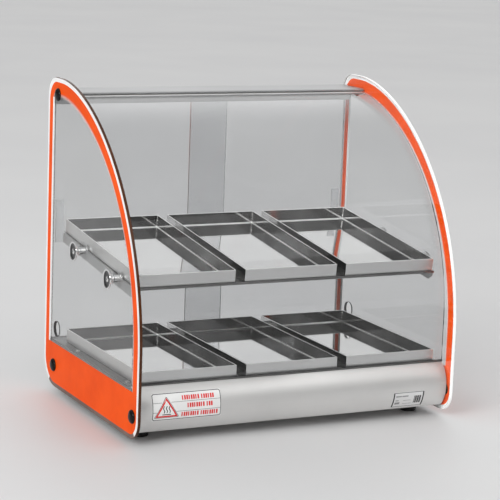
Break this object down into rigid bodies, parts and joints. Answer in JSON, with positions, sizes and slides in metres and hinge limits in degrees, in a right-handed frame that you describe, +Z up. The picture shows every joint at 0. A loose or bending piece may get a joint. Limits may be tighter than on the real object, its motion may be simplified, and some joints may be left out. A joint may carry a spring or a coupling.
{
  "type": "hot_food_display_case",
  "caption": "Countertop two-level heated food display case with orange-bordered side glasses, a curved front glass, lift-out pans and sliding rear doors.",
  "frame": {"origin": "on the counter, under the middle of the case's footprint", "axes": "+X to the customer's right across the case's width, +Y from the customer's side to the operator's side (the sliding doors), +Z up"},
  "size_m": [0.486, 0.348, 0.446],
  "materials": {
    "stainless": "brushed",
    "shelf_steel": "satin",
    "deck_steel": "satin",
    "pan_steel": "polished",
    "bracket_steel": "satin",
    "element_steel": "satin",
    "zinc_steel": "satin",
    "copper": "satin",
    "printed_glass": "clear with a printed orange border",
    "clear_glass": "clear",
    "aluminium": "satin",
    "chrome": "polished",
    "black_plastic": "matte",
    "white_plastic": "matte",
    "red_plastic": "gloss",
    "amber_plastic": "gloss",
    "black_rubber": "matte",
    "label_film": "semi-gloss",
    "plate_foil": "satin",
    "wire_brown": "matte",
    "wire_blue": "matte"
  },
  "bodies": {
    "case": {"base_tub": "stainless", "cable_gland": "black_plastic", "deck_brackets": "zinc_steel", "deck_plate": "deck_steel", "deck_screws": "zinc_steel", "dial_scale_plate": "plate_foil", "element_bridges": "zinc_steel", "element_feed_wire": "wire_brown", "element_return_wire": "wire_blue", "foot_front_left": "black_rubber", "foot_front_right": "black_rubber", "foot_rear_left": "black_rubber", "foot_rear_right": "black_rubber", "foot_screws": "zinc_steel", "front_fascia": "stainless", "front_glass": "clear_glass", "front_glass_seal": "black_rubber", "gland_lock_nut": "black_plastic", "heat_shield": "zinc_steel", "heating_element": "element_steel", "lamp_wire": "wire_blue", "lower_door_track": "aluminium", "panel_cap_screws": "black_plastic", "panel_weld_nuts": "zinc_steel", "pilot_lamp_body": "white_plastic", "pilot_lamp_lens": "amber_plastic", "power_switch_housing": "black_plastic", "rating_plate": "plate_foil", "rear_panel": "stainless", "shelf_bosses": "chrome", "shelf_bracket_left": "bracket_steel", "shelf_bracket_right": "bracket_steel", "shelf_knobs": "chrome", "shield_spacers": "zinc_steel", "side_glass_left": "printed_glass", "side_glass_right": "printed_glass", "supply_wire": "wire_brown", "switch_wire": "wire_brown", "terminal_block": "white_plastic", "thermostat": "white_plastic", "thermostat_sensor": "copper", "thermostat_wire": "wire_brown", "top_rail": "aluminium", "upper_shelf": "shelf_steel", "warning_label": "label_film"},
    "rear_door_left_body": {"rear_door_left": "clear_glass", "door_pull_left": "clear_glass"},
    "rear_door_right_body": {"rear_door_right": "clear_glass", "door_pull_right": "clear_glass"},
    "thermostat_dial_body": {"thermostat_dial": "black_plastic", "thermostat_shaft": "zinc_steel"},
    "power_rocker_body": {"power_rocker": "red_plastic"},
    "lower_pan_left_body": {"lower_pan_left": "pan_steel"},
    "lower_pan_middle_body": {"lower_pan_middle": "pan_steel"},
    "lower_pan_right_body": {"lower_pan_right": "pan_steel"},
    "upper_pan_left_body": {"upper_pan_left": "pan_steel"},
    "upper_pan_middle_body": {"upper_pan_middle": "pan_steel"},
    "upper_pan_right_body": {"upper_pan_right": "pan_steel"}
  },
  "joints": [
    {"name": "left_door_slide", "type": "slide", "parent": "case", "child": "rear_door_left_body", "axis": [1, 0, 0], "range_m": [0, 0.195]},
    {"name": "right_door_slide", "type": "slide", "parent": "case", "child": "rear_door_right_body", "axis": [-1, 0, 0], "range_m": [0, 0.2]},
    {"name": "thermostat_turn", "type": "hinge", "parent": "case", "child": "thermostat_dial_body", "pos_m": [0.06, 0.157, 0.042], "axis": [0, 1, 0], "range_deg": [0, 270]},
    {"name": "power_rock", "type": "hinge", "parent": "case", "child": "power_rocker_body", "pos_m": [0.11, 0.1575, 0.042], "axis": [1, 0, 0], "range_deg": [0, 20]},
    {"name": "lower_left_lift", "type": "slide", "parent": "case", "child": "lower_pan_left_body", "axis": [0, 0, 1], "range_m": [0, 0.04]},
    {"name": "lower_middle_lift", "type": "slide", "parent": "case", "child": "lower_pan_middle_body", "axis": [0, 0, 1], "range_m": [0, 0.04]},
    {"name": "lower_right_lift", "type": "slide", "parent": "case", "child": "lower_pan_right_body", "axis": [0, 0, 1], "range_m": [0, 0.04]},
    {"name": "upper_left_lift", "type": "slide", "parent": "case", "child": "upper_pan_left_body", "axis": [0, 0.7071, 0.7071], "range_m": [0, 0.014]},
    {"name": "upper_middle_lift", "type": "slide", "parent": "case", "child": "upper_pan_middle_body", "axis": [0, 0.7071, 0.7071], "range_m": [0, 0.014]},
    {"name": "upper_right_lift", "type": "slide", "parent": "case", "child": "upper_pan_right_body", "axis": [0, 0.7071, 0.7071], "range_m": [0, 0.014]}
  ]
}
